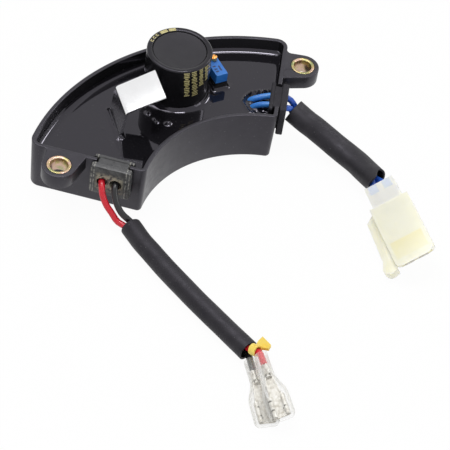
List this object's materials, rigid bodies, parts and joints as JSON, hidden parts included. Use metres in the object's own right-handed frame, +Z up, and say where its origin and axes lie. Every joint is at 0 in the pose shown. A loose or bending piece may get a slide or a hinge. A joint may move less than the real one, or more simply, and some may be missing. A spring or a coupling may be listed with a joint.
{
  "type": "automatic voltage regulator",
  "caption": "Arc-shaped potted voltage regulator for a small generator, with mounting ears, a tall capacitor, a voltage trimmer, a bent heat plate and cable tails that end in plugs.",
  "frame": {"origin": "midway between the axes of the mounting holes, on the tray's flat underside", "axes": "+X from the left mounting hole to the right one, +Y towards the tray's long outer wall, +Z up out of the potting"},
  "size_m": [0.1226, 0.1634, 0.0358],
  "materials": {
    "black_plastic": "satin",
    "zinc_steel": "satin",
    "grey_rubber": "matte",
    "black_rubber": "matte",
    "board_green": "matte",
    "aluminium_can": "satin",
    "black_film": "gloss",
    "grey_disc": "satin",
    "blue_case": "satin",
    "brass_screw": "satin",
    "bright_plate": "polished",
    "device_black": "matte",
    "black_resin": "gloss",
    "red_wire": "gloss",
    "black_wire": "gloss",
    "blue_wire": "gloss",
    "black_tube": "satin",
    "yellow_tag": "satin",
    "clear_cover": "gloss",
    "tinned_brass": "satin",
    "cream_nylon": "satin"
  },
  "bodies": {
    "regulator": {"housing": "black_plastic", "left_ear_sleeve": "zinc_steel", "right_ear_sleeve": "zinc_steel", "left_grommet": "grey_rubber", "right_grommet": "black_rubber", "circuit_board": "board_green", "capacitor_can": "aluminium_can", "capacitor_sleeve": "black_film", "capacitor_disc": "grey_disc", "trimmer_body": "blue_case", "heat_sink_tab": "bright_plate", "power_transistor": "device_black", "bridge_rectifier": "device_black", "control_chip": "device_black", "potting_resin": "black_resin", "red_wire": "red_wire", "black_wire": "black_wire", "blue_wire_a": "blue_wire", "blue_wire_b": "blue_wire", "left_cable_sleeve": "black_tube", "right_cable_sleeve": "black_tube", "wire_marker": "yellow_tag", "black_plug_cover": "clear_cover", "red_plug_cover": "clear_cover", "black_flat_plug": "tinned_brass", "red_flat_plug": "tinned_brass", "connector_shell": "cream_nylon", "connector_tab_a": "tinned_brass", "connector_tab_b": "tinned_brass"},
    "adjuster": {"trimmer_screw": "brass_screw"}
  },
  "joints": [
    {"name": "voltage_adjust", "type": "hinge", "parent": "regulator", "child": "adjuster", "pos_m": [0.02567, 0.01806, 0.023], "axis": [0, 0, 1], "continuous": true}
  ]
}
